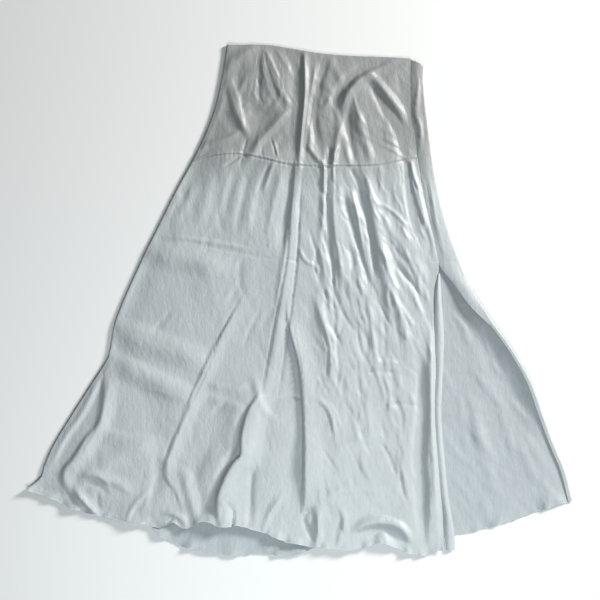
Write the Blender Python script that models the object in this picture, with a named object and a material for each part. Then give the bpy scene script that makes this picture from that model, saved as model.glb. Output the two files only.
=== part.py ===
# A satin skirt laid flat on its back: hip yoke above, flared panel below, open slit at its right-hand side.
# The waist points to +Y and the front of the skirt faces up. The back pieces lie on the floor, their
# right-hand edge is rolled over to the front as far as the side seam, and the front pieces lie on them.
# Plan positions are in millimetres from the middle of the laid-out skirt, x to the right, y to the waist.

from collections import namedtuple

import bpy
import numpy as np

MM = 0.001

# Driving dimensions, in millimetres.
CLOTH = 1.2  # thickness of every wall of cloth
GAP = 0.3  # between two pieces of cloth, at a seam or where one lies on another
PUFF = 3.5  # how far the front stands off the back inside its edges
PUFF_EDGE = 50.0  # how far in from the edges it reaches that
ROLL_RADIUS = 2.0  # outer radius where the back's edge is rolled over to the front
STRIP_PUFF = 1.5  # rise of the rolled-over strip between the roll and the side seam
SLIT_HEM = 7.0  # width of the hem turned over along the back edge of the slit
FACING_CROWN = 2.5  # rise of the middle of the slit facing
FACING_GAP = 1.0  # between the facing and the panel's edge
FACING_PARTING = 5.0  # and how much more they part towards the hem
RIPPLE_HIGH = 2.0  # lift of the small waves along the hem
RIPPLE_DEEP = 24.0  # how far the waves run up from the hem
HEM_WAVES = 13

# How finely the cloth is divided.
FRONT_COLUMNS = 60  # the same in the front yoke and panel, so that they meet point to point
BACK_COLUMNS = 30
YOKE_ROWS = 13
PANEL_ROWS = 38
BACK_PANEL_ROWS = 16
FACING_ROWS = 22
FACING_COLUMNS = 3
ROLL_STEPS = 3
STRIP_COLUMNS = 2
CURVE_STEPS = 10  # between two points of an outline
DRAWN_STEPS = 90  # along an edge that others are read from

FRONT_LOW = 2 * CLOTH + GAP  # outer face of the front where it lies right on the back

# Outlines, each a row of (x, y).
WAIST = ((-126, 445), (-61, 445), (-17, 439), (31, 431), (87, 426), (149, 424), (194, 421))
WAIST_ROLLED = ((194, 419), (207, 415), (216, 408))
YOKE_LEFT = ((-126, 445), (-133, 397), (-147, 334), (-168, 280), (-187, 241))
YOKE_RIGHT = ((216, 408), (215, 385), (218, 350), (223, 306), (230, 249))
YOKE_SEAM = (
    (-187, 241), (-157, 250), (-112, 255), (-66, 248), (-26, 238),
    (26, 234), (87, 234), (140, 236), (184, 246), (205, 249),
)
SEAM_ROLLED = ((205, 249), (230, 249))
YOKE_SIDE_SEAM = ((194, 421), (193, 383), (194, 320), (201, 290), (205, 249))
PANEL_SIDE_SEAM = ((205, 249), (215, 189), (228, 129), (242, 65))
PANEL_LEFT = (
    (-187, 241), (-213, 194), (-241, 138), (-282, 54), (-318, -30), (-330, -86), (-336, -106),
    (-359, -142), (-395, -198), (-429, -254), (-445, -290), (-452, -311), (-476, -331),
)
PANEL_RIGHT = (
    (230, 249), (240, 194), (254, 138), (273, 82), (297, 26), (329, -30),
    (369, -86), (401, -142), (422, -198), (444, -254), (463, -300), (476, -352),
)
SLIT_FRONT_EDGE = (
    (242, 65), (234, 16), (233, -25), (238, -115), (235, -195), (240, -270), (248, -359), (251, -436),
)
SLIT_BACK_EDGE = ((242, 65), (271, 24), (296, -11), (329, -43))
FACING_OUTER_EDGE = (
    (244, 46), (247, -2), (251, -72), (247, -168), (247, -215),
    (252, -278), (259, -345), (268, -399), (270, -437),
)
FRONT_HEM = (
    (-476, -331), (-424, -350), (-399, -364), (-364, -374), (-297, -389), (-245, -395), (-220, -388),
    (-196, -397), (-170, -386), (-135, -392), (-103, -393), (-52, -409), (-14, -423), (54, -433),
    (92, -435), (136, -425), (163, -428), (192, -441), (219, -445), (251, -436),
)
BACK_HEM = (
    (-476, -331), (-424, -350), (-364, -374), (-297, -389), (-262, -394), (-248, -411), (-203, -430),
    (-143, -444), (-82, -445), (-10, -445), (31, -431), (87, -424), (157, -423), (227, -420),
    (271, -411), (311, -402), (360, -388), (437, -362), (476, -352),
)

# The largest folds. Each runs along its path, `high` millimetres above the cloth or below it where that is
# negative, and falls away over `left` and `right` millimetres to the two sides of the way the path goes.
Fold = namedtuple("Fold", "high left right path")

FRONT_FOLDS = (
    # From the waist to the yoke seam, left to right.
    Fold(4.0, 16, 22, ((-140, 385), (-104, 424), (-62, 462))),
    Fold(4.5, 11, 14, ((-80, 275), (-97, 299), (-115, 341), (-128, 397))),
    Fold(6.0, 13, 9, ((-200, 262), (-142, 270), (-118, 276), (-104, 292))),  # bulge above the seam
    Fold(-2.5, 8, 8, ((-70, 325), (-72, 372), (-68, 455))),  # dart
    Fold(5.0, 14, 10, ((-93, 235), (-66, 280), (-42, 306), (-12, 340))),
    Fold(2.5, 9, 9, ((-30, 330), (-50, 362), (-64, 400), (-72, 450))),
    Fold(3.5, 9, 9, ((0, 330), (-24, 348), (-40, 382), (-66, 450))),
    Fold(-3.0, 9, 9, ((4, 385), (-14, 418), (-30, 450))),
    Fold(-2.5, 12, 8, ((-18, 240), (-15, 310), (-12, 366), (-9, 470))),
    Fold(6.0, 8, 12, ((-4, 200), (3, 299), (9, 366), (6, 480))),
    Fold(3.0, 8, 9, ((14, 240), (19, 300), (26, 350), (28, 400))),
    Fold(-3.5, 12, 12, ((38, 250), (24, 310), (30, 369), (54, 450))),
    Fold(-4.5, 14, 11, ((56, 300), (61, 352), (79, 375), (107, 399), (165, 430))),  # drag to the right hip
    Fold(4.5, 10, 14, ((66, 320), (88, 366), (115, 392), (147, 408))),
    Fold(4.0, 10, 10, ((60, 225), (62, 270), (74, 315))),
    Fold(-3.5, 11, 11, ((98, 225), (84, 303), (88, 350))),
    Fold(3.5, 11, 12, ((128, 225), (108, 300), (92, 350))),
    Fold(-4.5, 13, 13, ((180, 225), (168, 299), (147, 336), (126, 380))),
    Fold(5.5, 12, 12, ((190, 300), (168, 334), (147, 364), (118, 398))),
    # Down the left half of the panel.
    Fold(5.0, 10, 30, (
        (-400, -372), (-408, -340), (-413, -303), (-392, -276),
        (-371, -243), (-347, -208), (-338, -135), (-331, -80),
    )),
    Fold(3.0, 9, 10, ((-446, -310), (-410, -240), (-378, -194), (-350, -133), (-336, -98))),
    Fold(5.0, 14, 11, ((-390, -303), (-336, -312), (-286, -338))),
    Fold(5.5, 11, 13, ((-346, -385), (-376, -350), (-398, -322))),
    Fold(3.0, 12, 15, ((-270, 77), (-206, 65), (-128, 52))),
    Fold(3.5, 14, 16, ((-312, -66), (-243, -89), (-168, -114))),
    Fold(3.5, 14, 16, ((-318, -114), (-268, -142), (-204, -176))),
    Fold(2.8, 8, 26, (
        (-190, -420), (-213, -343), (-236, -299), (-226, -262),
        (-205, -208), (-145, -75), (-93, 14), (-74, 44),
    )),
    Fold(4.5, 16, 20, ((-166, -430), (-190, -345), (-206, -280))),
    Fold(13.0, 15, 34, (  # the tallest, left of the middle of the hem
        (-132, -420), (-138, -357), (-126, -325), (-110, -288), (-96, -240), (-88, -200), (-66, -150),
    )),
    Fold(-3.0, 11, 11, ((-90, -440), (-86, -334), (-80, -270), (-72, -205))),
    # The fold pressed in down the middle, and what lies beside it.
    Fold(4.5, 11, 17, (
        (-82, -215), (-60, -150), (-42, -54), (-30, 42), (-17, 135), (-9, 191), (-4, 290),
    )),
    Fold(8.0, 12, 36, ((4, -400), (9, -264), (6, -177), (-2, -103), (-19, -40), (-24, 20))),
    Fold(2.5, 12, 12, ((-84, -120), (-60, -196), (-20, -212))),
    Fold(5.0, 13, 12, ((26, -450), (32, -395), (30, -350))),
    # Down the right half of the panel.
    Fold(3.0, 9, 8, ((34, 80), (40, 164), (42, 280))),
    Fold(-4.0, 10, 10, ((60, -60), (56, 51), (51, 128), (47, 173), (47, 270))),
    Fold(5.0, 9, 18, ((78, -10), (65, 103), (59, 173), (57, 280))),
    Fold(-3.5, 10, 9, ((132, 0), (110, 59), (98, 105), (86, 145), (70, 200))),
    Fold(-4.0, 10, 10, ((136, 10), (121, 117), (107, 166), (90, 214))),
    Fold(4.5, 13, 20, ((160, -20), (138, 103), (126, 165), (104, 260))),
    Fold(-4.0, 13, 10, ((214, 80), (193, 164), (184, 270))),
    Fold(4.5, 9, 9, ((244, 50), (226, 118), (210, 176), (196, 240))),
    Fold(4.5, 10, 14, ((54, -150), (50, -80), (38, -33), (24, 20))),
    Fold(3.0, 12, 12, ((140, -150), (128, -60), (118, 20))),
    Fold(3.0, 12, 12, ((190, -90), (170, -10), (150, 50))),
    Fold(-3.5, 10, 11, ((240, -70), (205, 12), (171, 59), (145, 120))),
    Fold(3.0, 10, 10, ((60, -240), (53, -200), (36, -176), (20, -172))),
    Fold(-4.0, 18, 12, (
        (224, -480), (212, -378), (212, -317), (205, -264), (213, -203), (216, -150), (204, -70),
    )),
    Fold(4.0, 10, 9, ((244, -470), (240, -317), (233, -229), (228, -177), (229, -89), (236, 20))),
    Fold(7.0, 15, 12, ((84, -410), (104, -397), (140, -388), (178, -401), (204, -440))),
)

# Where the back shows beside the slit: its edge curls up off the floor, and low folds lie beside that.
BACK_FOLDS = (
    Fold(6.5, 34, 34, (
        (276, 70), (300, 22), (329, -30), (369, -86), (401, -142), (424, -205), (444, -254),
    )),
    Fold(2.0, 14, 14, ((330, -290), (300, -170), (276, -80))),
    Fold(2.2, 15, 16, ((352, -360), (318, -270), (296, -190))),
    Fold(2.5, 14, 14, ((420, -330), (395, -275), (372, -235))),
)


def curve(points, count):
    """Places spaced evenly along a smooth curve through the points."""
    knots = np.array(points, float)
    whole = np.vstack([2 * knots[:1] - knots[1:2], knots, 2 * knots[-1:] - knots[-2:-1]])
    t = np.linspace(0, 1, CURVE_STEPS, endpoint=False)[:, None]
    spans = []
    for a, b, c, d in zip(whole, whole[1:], whole[2:], whole[3:]):
        spans.append(b + 0.5 * t * (c - a + t * (2 * a - 5 * b + 4 * c - d + t * (3 * (b - c) + d - a))))
    fine = np.vstack([*spans, knots[-1:]])
    along = np.concatenate([[0], np.cumsum(np.linalg.norm(np.diff(fine, axis=0), axis=1))])
    at = np.linspace(0, along[-1], count)
    return np.stack([np.interp(at, along, fine[:, k]) for k in (0, 1)], axis=1)


def edge_x(points, y):
    """Where an edge that runs from the waist to the hem stands at each y."""
    drawn = curve(points, DRAWN_STEPS)
    return np.interp(-y, -drawn[:, 1], drawn[:, 0])


def moved(points, dx=0.0, dy=0.0):
    return tuple((x + dx, y + dy) for x, y in points)


def smooth(share):
    """Rises from 0 to 1 with level ends."""
    share = np.clip(share, 0, 1)
    return share * share * (3 - 2 * share)


def fold_height(fold, plan):
    """How high one fold raises each place of the plan."""
    line = curve(fold.path, 5 * len(fold.path))
    start = line[:-1]
    step = np.diff(line, axis=0)
    away = plan[:, None] - start
    share = np.clip((away * step).sum(-1) / (step * step).sum(-1), 0, 1)
    off = np.linalg.norm(away - share[..., None] * step, axis=-1)
    near = off.argmin(axis=1)
    each = np.arange(len(plan))
    along = (near + share[each, near]) / len(step)
    side = step[near, 0] * away[each, near, 1] - step[near, 1] * away[each, near, 0]
    reach = np.where(side > 0, fold.left, fold.right)
    crown = 0.5 + 0.5 * np.cos(np.pi * np.clip(off[each, near] / reach, 0, 1))
    return fold.high * crown * smooth(np.minimum(along, 1 - along) / 0.3)


def lift(folds, plan):
    """The height of all the folds together at each place of the plan."""
    flat = plan.reshape(-1, 2)
    return sum(fold_height(fold, flat) for fold in folds).reshape(plan.shape[:-1])


def patch(top, bottom, left, right, rows, columns):
    """A grid of plan places inside four edges, which are curves through their points."""
    top, bottom = curve(top, columns + 1), curve(bottom, columns + 1)
    left, right = curve(left, rows + 1), curve(right, rows + 1)
    u = np.linspace(0, 1, columns + 1)[None, :, None]
    v = np.linspace(0, 1, rows + 1)[:, None, None]
    between = (1 - v) * top[None] + v * bottom[None]
    across = (1 - u) * left[:, None] + u * right[:, None]
    corners = (1 - v) * ((1 - u) * top[0] + u * top[-1]) + v * ((1 - u) * bottom[0] + u * bottom[-1])
    return between + across - corners


def puff(plan, from_top, from_bottom):
    """The rise of the front off the back, from nothing at its free edges to PUFF inside."""
    inside = np.minimum(
        np.linalg.norm(plan - plan[:, :1], axis=-1),
        np.linalg.norm(plan - plan[:, -1:], axis=-1),
    )
    if from_top:
        inside = np.minimum(inside, np.linalg.norm(plan - plan[:1], axis=-1))
    if from_bottom:
        inside = np.minimum(inside, np.linalg.norm(plan - plan[-1:], axis=-1))
    return PUFF * smooth(inside / PUFF_EDGE)


def hem_ripple(plan):
    """Small waves along the bottom row of a grid, fading upwards."""
    up = np.linalg.norm(plan - plan[-1:], axis=-1)
    along = np.linspace(0, 2 * np.pi, plan.shape[1])[None]
    swing = 0.5 + 0.5 * np.sin(HEM_WAVES * along + 2 * np.sin(3 * along))
    return RIPPLE_HIGH * swing * np.exp(-((up / RIPPLE_DEEP) ** 2))


def wall(name, outer, inner, material):
    """A closed wall of cloth between the grids of its outer and inner faces."""
    rows, columns = outer.shape[:2]
    size = rows * columns
    number = np.arange(size).reshape(rows, columns)
    corner = np.stack([number[:-1, :-1], number[1:, :-1], number[1:, 1:], number[:-1, 1:]], axis=-1)
    faces = corner.reshape(-1, 4)
    rim = np.array([*number[0, :-1], *number[:-1, -1], *number[-1, :0:-1], *number[:0:-1, 0]])
    after = np.roll(rim, -1)
    sides = np.stack([rim, after, after + size, rim + size], axis=-1)
    mesh = bpy.data.meshes.new(name)
    points = np.concatenate([outer.reshape(-1, 3), inner.reshape(-1, 3)]) * MM
    mesh.from_pydata(points.tolist(), [], np.concatenate([faces, faces[:, ::-1] + size, sides]).tolist())
    mesh.materials.append(material)
    mesh.shade_smooth()
    mesh.set_sharp_from_angle(angle=np.radians(60))
    piece = bpy.data.objects.new(name, mesh)
    bpy.context.scene.collection.objects.link(piece)
    return piece


def lying(name, plan, height, material):
    """A wall of cloth that lies face up with its outer face at the heights, as thick on slopes as elsewhere."""
    outer = np.concatenate([plan, height[..., None]], axis=-1)
    normal = np.cross(np.gradient(outer, axis=0), np.gradient(outer, axis=1))
    slant = np.linalg.norm(normal, axis=-1) / np.abs(normal[..., 2])
    inner = outer.copy()
    inner[..., 2] -= CLOTH * slant
    inner[..., 2] = np.maximum(inner[..., 2], CLOTH + GAP)
    return wall(name, outer, inner, material)


def rolled(name, plan, height, seam_edge, material):
    """A back piece: it lies face down, and its right edge is rolled over to the front as far as seam_edge."""
    centre = plan[:, -1] - (ROLL_RADIUS, 0)
    inwards = np.linspace(0, 1, plan.shape[1]) ** 8
    plan = plan - ROLL_RADIUS * inwards[None, :, None] * (1, 0)
    outer = [*np.concatenate([plan, height[..., None]], axis=-1).swapaxes(0, 1)]
    outward = [(0, 0, -1)] * len(outer)
    axis = np.column_stack([centre, height[:, -1] + ROLL_RADIUS])
    for angle in np.linspace(0, np.pi, ROLL_STEPS + 1)[1:]:
        way = (np.sin(angle), 0, -np.cos(angle))
        outer.append(axis + ROLL_RADIUS * np.array(way))
        outward.append(way)
    above = axis + (0, 0, ROLL_RADIUS)
    landed = np.column_stack([seam_edge, FRONT_LOW + height[:, -1]])
    for share in np.linspace(0, 1, STRIP_COLUMNS + 1)[1:]:
        wide = np.linalg.norm(landed - above, axis=1) > 2 * SLIT_HEM
        rise = np.where(wide, STRIP_PUFF * np.sin(np.pi * share), 0)
        outer.append(above + share * (landed - above) + rise[:, None] * (0, 0, 1))
        outward.append((0, 0, 1))
    outer = np.stack(outer[::-1], axis=1)
    inner = outer - CLOTH * np.array(outward[::-1])
    return wall(name, outer, inner, material)


def satin(name, colour, roughness):
    material = bpy.data.materials.new(name)
    material.use_nodes = True
    shader = material.node_tree.nodes["Principled BSDF"]
    shader.inputs["Base Color"].default_value = (*colour, 1)
    shader.inputs["Roughness"].default_value = roughness
    return material


def front_yoke(material):
    plan = patch(WAIST, YOKE_SEAM, YOKE_LEFT, moved(YOKE_SIDE_SEAM, -GAP), YOKE_ROWS, FRONT_COLUMNS)
    height = puff(plan, from_top=True, from_bottom=False) + lift(FRONT_FOLDS, plan)
    lying("front_yoke", plan, FRONT_LOW + np.maximum(height, 0), material)


def front_panel(material):
    right = moved((*PANEL_SIDE_SEAM, *SLIT_FRONT_EDGE[1:]), -GAP)
    top = moved(YOKE_SEAM, dy=-GAP)
    plan = patch(top, FRONT_HEM, PANEL_LEFT, right, PANEL_ROWS, FRONT_COLUMNS)
    height = puff(plan, from_top=False, from_bottom=True) + lift(FRONT_FOLDS, plan) + hem_ripple(plan)
    lying("front_panel", plan, FRONT_LOW + np.maximum(height, 0), material)


def slit_facing(material):
    """The hem turned on the front edge of the slit, which rolls out beside the panel."""
    outer = curve(FACING_OUTER_EDGE, FACING_ROWS + 1)
    parting = FACING_GAP + FACING_PARTING * smooth(np.linspace(-2, 1, FACING_ROWS + 1))
    edge = edge_x((*PANEL_SIDE_SEAM, *SLIT_FRONT_EDGE[1:]), outer[:, 1])
    inner = np.column_stack([edge + parting, outer[:, 1]])
    share = np.linspace(0, 1, FACING_COLUMNS + 1)
    plan = inner[:, None] + share[None, :, None] * (outer - inner)[:, None]
    height = FACING_CROWN * np.sin(np.pi * share) * np.ones((FACING_ROWS + 1, 1))
    lying("slit_facing", plan, FRONT_LOW + height, material)


def back_yoke(material):
    top = (*moved(WAIST, dy=-2)[:-1], *WAIST_ROLLED)
    seam = (*YOKE_SEAM, *SEAM_ROLLED[1:])
    plan = patch(top, seam, YOKE_LEFT, YOKE_RIGHT, YOKE_ROWS, BACK_COLUMNS)
    seam_edge = curve(moved(YOKE_SIDE_SEAM, GAP), YOKE_ROWS + 1)
    rolled("back_yoke", plan, np.zeros(plan.shape[:2]), seam_edge, material)


def back_panel(material):
    seam = moved((*YOKE_SEAM, *SEAM_ROLLED[1:]), dy=-GAP)
    left, right = moved(PANEL_LEFT, dy=-GAP), moved(PANEL_RIGHT, dy=-GAP)
    plan = patch(seam, BACK_HEM, left, right, BACK_PANEL_ROWS, BACK_COLUMNS)
    y = plan[:, -1, 1]
    seam_x = edge_x((*PANEL_SIDE_SEAM, *SLIT_BACK_EDGE[1:]), y) + GAP
    hem_x = plan[:, -1, 0] - SLIT_HEM
    strip_x = np.where(y > SLIT_BACK_EDGE[-1][1], np.minimum(seam_x, hem_x), hem_x)
    rolled("back_panel", plan, lift(BACK_FOLDS, plan), np.column_stack([strip_x, y]), material)


def main():
    for old in list(bpy.data.objects):
        bpy.data.objects.remove(old)
    right_side = satin("satin_right_side", (0.50, 0.55, 0.56), 0.38)
    wrong_side = satin("satin_wrong_side", (0.52, 0.58, 0.60), 0.60)
    front_yoke(right_side)
    front_panel(right_side)
    slit_facing(right_side)
    back_yoke(right_side)
    back_panel(wrong_side)


main()
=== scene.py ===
import math
from collections import namedtuple

import bpy
import numpy as np
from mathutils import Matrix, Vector


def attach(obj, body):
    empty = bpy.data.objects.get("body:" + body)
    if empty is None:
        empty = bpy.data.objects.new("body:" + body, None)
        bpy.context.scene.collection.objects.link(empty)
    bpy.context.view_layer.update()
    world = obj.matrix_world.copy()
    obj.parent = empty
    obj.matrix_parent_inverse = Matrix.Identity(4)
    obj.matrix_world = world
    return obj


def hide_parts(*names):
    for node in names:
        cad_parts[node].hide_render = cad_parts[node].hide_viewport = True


# A satin skirt laid flat on its back. Plan places are in millimetres in the frame's own axes:
# x to the right, y to the waist. Heights are in millimetres above the surface it lies on.

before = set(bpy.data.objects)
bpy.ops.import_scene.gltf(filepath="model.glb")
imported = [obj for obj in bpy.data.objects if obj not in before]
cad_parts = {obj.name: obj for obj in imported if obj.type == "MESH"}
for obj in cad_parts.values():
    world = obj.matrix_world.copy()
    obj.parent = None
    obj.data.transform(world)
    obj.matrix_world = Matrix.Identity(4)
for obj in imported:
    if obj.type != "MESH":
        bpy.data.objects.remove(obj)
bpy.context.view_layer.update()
mm = 0.001

photo = {
    "mmPerPixel": 1.75,  # from the 200 mm depth of the hip yoke
    "middle": 300,  # the pixel at the frame's origin, across and down
    "pixels": 600,
}

cloth = {
    "thickness": 0.45,  # heavy satin, a little thicker than real so that its edge shows
    "wall": 1.2,  # the solid's wall, which sets where the front lies
    "gap": 0.3,
    "puff": 3.5,  # how far the front stands off the back inside its edges
    "puffEdge": 50,
    "rollRadius": 2.0,  # where the back's edge is rolled over to the front
    "stripPuff": 2.2,
    "slitHem": 7.0,
    "leftRise": 2.2,  # the front rises again at the left, where the cloth is folded round
    "leftRiseWide": 13,
    "tall": 15.0,  # higher folds than this sink under their own weight
    "tuck": 0.5,  # how far one piece goes down under the next at a seam
}
frontLow = 2 * cloth["wall"] + cloth["gap"]

outline = {
    "waist": ((-126, 445), (-61, 445), (-17, 439), (31, 431), (87, 426), (149, 424), (194, 421)),
    "waistRolled": ((194, 419), (207, 415), (216, 408)),
    "yokeLeft": ((-126, 445), (-133, 397), (-147, 334), (-168, 280), (-187, 241)),
    "yokeRight": ((216, 408), (215, 385), (218, 350), (223, 306), (230, 249)),
    "yokeSeam": (
        (-187, 241), (-157, 250), (-112, 255), (-66, 248), (-26, 238),
        (26, 234), (87, 234), (140, 236), (184, 246), (205, 249),
    ),
    "seamRolled": ((205, 249), (230, 249)),
    "yokeSideSeam": ((194, 421), (193, 383), (194, 320), (201, 290), (205, 249)),
    "panelSideSeam": ((205, 249), (215, 189), (228, 129), (242, 65)),
    "panelLeft": (
        (-187, 241), (-213, 194), (-241, 138), (-282, 54), (-318, -30), (-330, -86), (-336, -106),
        (-359, -142), (-395, -198), (-429, -254), (-445, -290), (-452, -311), (-476, -331),
    ),
    "panelRight": (
        (230, 249), (240, 194), (254, 138), (273, 82), (297, 26), (329, -30),
        (369, -86), (401, -142), (422, -198), (444, -254), (463, -300), (476, -352),
    ),
    "slitFrontEdge": (
        (242, 65), (234, 16), (233, -25), (238, -115), (235, -195), (240, -270), (248, -359), (251, -436),
    ),
    "slitBackEdge": ((242, 65), (271, 24), (296, -11), (329, -43)),
    "facingOuterEdge": (
        (244, 46), (247, -2), (251, -72), (247, -168), (247, -215),
        (252, -278), (259, -345), (268, -399), (270, -437),
    ),
    "frontHem": (
        (-476, -331), (-424, -350), (-399, -364), (-364, -374), (-297, -389), (-245, -395), (-220, -388),
        (-196, -397), (-170, -386), (-135, -392), (-103, -393), (-52, -409), (-14, -423), (54, -433),
        (92, -435), (136, -425), (163, -428), (192, -441), (219, -445), (251, -436),
    ),
    "backHem": (
        (-476, -331), (-424, -350), (-364, -374), (-297, -389), (-262, -394), (-248, -411), (-203, -430),
        (-143, -444), (-82, -445), (-10, -445), (31, -431), (87, -424), (157, -423), (227, -420),
        (271, -411), (311, -402), (360, -388), (437, -362), (476, -352),
    ),
}

# A fold rises `high` along its path and falls away over `left` and `right` of the way the path goes.
# sharp is 0 for a soft round fold and 1 for a pressed one, lean pushes its crown over to the left.
crease = namedtuple("crease", "high left right sharp path lean", defaults=(0,))

# The folds that the solids have too, in millimetres.
broadFolds = (
    # the seam of the yoke stands up a little
    crease(3.2, 36, 44, 0.1, (
        (-230, 236), (-187, 243), (-112, 255), (-26, 238), (87, 234), (184, 246), (250, 252),
    )),
    # yoke, left to right
    crease(4.0, 16, 22, 0.6, ((-140, 385), (-104, 424), (-62, 462))),
    crease(4.5, 11, 14, 0.4, ((-80, 275), (-97, 299), (-115, 341), (-128, 397))),
    crease(6.0, 13, 9, 0.4, ((-200, 262), (-142, 270), (-118, 276), (-104, 292))),
    crease(-2.5, 8, 8, 0.3, ((-70, 325), (-72, 372), (-68, 455))),
    crease(5.0, 14, 10, 0.3, ((-93, 235), (-66, 280), (-42, 306), (-12, 340))),
    crease(2.5, 9, 9, 0.4, ((-30, 330), (-50, 362), (-64, 400), (-72, 450))),
    crease(3.5, 9, 9, 0.4, ((0, 330), (-24, 348), (-40, 382), (-66, 450))),
    crease(-3.0, 9, 9, 0.3, ((4, 385), (-14, 418), (-30, 450))),
    crease(-2.5, 12, 8, 0.3, ((-18, 240), (-15, 310), (-12, 366), (-9, 470))),
    crease(6.0, 8, 12, 0.6, ((-4, 200), (3, 299), (9, 366), (6, 480))),
    crease(3.0, 8, 9, 0.5, ((14, 240), (19, 300), (26, 350), (28, 400))),
    crease(-3.5, 12, 12, 0.3, ((38, 250), (24, 310), (30, 369), (54, 450))),
    crease(-4.5, 14, 11, 0.6, ((56, 300), (61, 352), (79, 375), (107, 399), (165, 430))),
    crease(4.5, 10, 14, 0.4, ((66, 320), (88, 366), (115, 392), (147, 408))),
    crease(4.0, 10, 10, 0.5, ((60, 225), (62, 270), (74, 315))),
    crease(-3.5, 11, 11, 0.3, ((98, 225), (84, 303), (88, 350))),
    crease(3.5, 11, 12, 0.3, ((128, 225), (108, 300), (92, 350))),
    crease(-4.0, 14, 14, 0.15, ((184, 215), (168, 299), (147, 336), (118, 390))),
    crease(3.6, 14, 14, 0.15, ((196, 290), (170, 334), (147, 364), (112, 402))),
    # left half of the panel
    crease(6.5, 8, 26, 0.5, (
        (-400, -372), (-408, -340), (-413, -303), (-392, -276),
        (-371, -243), (-347, -208), (-338, -135), (-331, -80),
    ), lean=1),
    crease(3.0, 9, 10, 0.4, ((-446, -310), (-410, -240), (-378, -194), (-350, -133), (-336, -98))),
    crease(3.2, 16, 12, 0.4, ((-390, -303), (-336, -312), (-286, -338))),
    crease(5.5, 11, 13, 0.6, ((-346, -385), (-376, -350), (-398, -322))),
    crease(2.0, 20, 30, 0, ((-286, 80), (-206, 68), (-110, 48))),
    crease(2.2, 20, 32, 0, ((-330, -60), (-243, -86), (-140, -122))),
    crease(2.2, 20, 32, 0, ((-336, -106), (-268, -138), (-170, -190))),
    crease(3.6, 4, 24, 0.9, (
        (-190, -420), (-213, -343), (-236, -299), (-226, -262),
        (-205, -208), (-145, -75), (-93, 14), (-74, 44),
    )),
    crease(4.5, 16, 20, 0.3, ((-166, -430), (-190, -345), (-206, -280))),
    crease(14.0, 10, 34, 0.5, (
        (-132, -420), (-139, -357), (-128, -318), (-112, -288),
        (-97, -272), (-95, -236), (-84, -194), (-64, -155),
    ), lean=6),
    crease(-3.0, 11, 11, 0.3, ((-90, -440), (-86, -334), (-80, -270), (-72, -205))),
    crease(7.5, 64, 34, 0, (
        (-140, -460), (-134, -370), (-118, -306), (-97, -250), (-84, -194), (-60, -110),
    )),
    # the pressed middle fold and what lies beside it
    crease(2.6, 11, 16, 0.2, (
        (-82, -215), (-60, -150), (-42, -54), (-30, 42), (-17, 135), (-9, 191), (-4, 290),
    )),
    crease(9.5, 4.5, 36, 0.8, ((4, -400), (9, -264), (6, -177), (-2, -103), (-19, -40), (-24, 20)), lean=3),
    crease(2.5, 12, 12, 0.3, ((-84, -120), (-60, -196), (-20, -212))),
    crease(5.0, 13, 12, 0.7, ((26, -450), (32, -395), (30, -350))),
    # right half of the panel
    crease(4.5, 55, 125, 0, ((20, -470), (30, -350), (40, -200), (52, -60), (64, 40))),
    crease(3.0, 9, 8, 0.5, ((34, 80), (40, 164), (42, 280))),
    crease(-1.6, 8, 6, 0.5, ((60, -60), (56, 51), (51, 128), (47, 173), (47, 270))),
    crease(2.8, 16, 20, 0.2, ((78, -10), (66, 103), (60, 173), (58, 240))),
    crease(-3.5, 10, 9, 0.4, ((132, 0), (110, 59), (98, 105), (86, 145), (70, 200))),
    crease(-4.0, 10, 10, 0.4, ((136, 10), (121, 117), (107, 166), (90, 214))),
    crease(4.5, 13, 20, 0.3, ((160, -20), (138, 103), (126, 165), (104, 260))),
    crease(-4.0, 13, 10, 0.3, ((214, 80), (193, 164), (184, 270))),
    crease(4.5, 9, 9, 0.4, ((244, 50), (226, 118), (210, 176), (196, 240))),
    crease(4.5, 10, 14, 0.4, ((54, -150), (50, -80), (38, -33), (24, 20))),
    crease(3.0, 12, 12, 0.3, ((140, -150), (128, -60), (118, 20))),
    crease(3.0, 12, 12, 0.3, ((190, -90), (170, -10), (150, 50))),
    crease(-3.5, 10, 11, 0.4, ((240, -70), (205, 12), (171, 59), (145, 120))),
    crease(3.0, 10, 10, 0.4, ((60, -240), (53, -200), (36, -176), (20, -172))),
    crease(-4.0, 18, 12, 0.3, (
        (224, -480), (212, -378), (212, -317), (205, -264), (213, -203), (216, -150), (204, -70),
    )),
    crease(4.0, 10, 9, 0.5, ((244, -470), (240, -317), (233, -229), (228, -177), (229, -89), (236, 20))),
    crease(7.0, 15, 12, 0.5, ((84, -410), (104, -397), (140, -388), (178, -401), (204, -440))),
)
slitCurl = (
    crease(9.5, 34, 34, 0, (
        (276, 70), (300, 22), (329, -30), (369, -86), (401, -142), (424, -205), (444, -254),
    )),
)
backFolds = (
    crease(2.0, 14, 14, 0.2, ((330, -290), (300, -170), (276, -80))),
    crease(2.2, 15, 16, 0.2, ((352, -360), (318, -270), (296, -190))),
    crease(2.5, 14, 14, 0.3, ((420, -330), (395, -275), (372, -235))),
)

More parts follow.
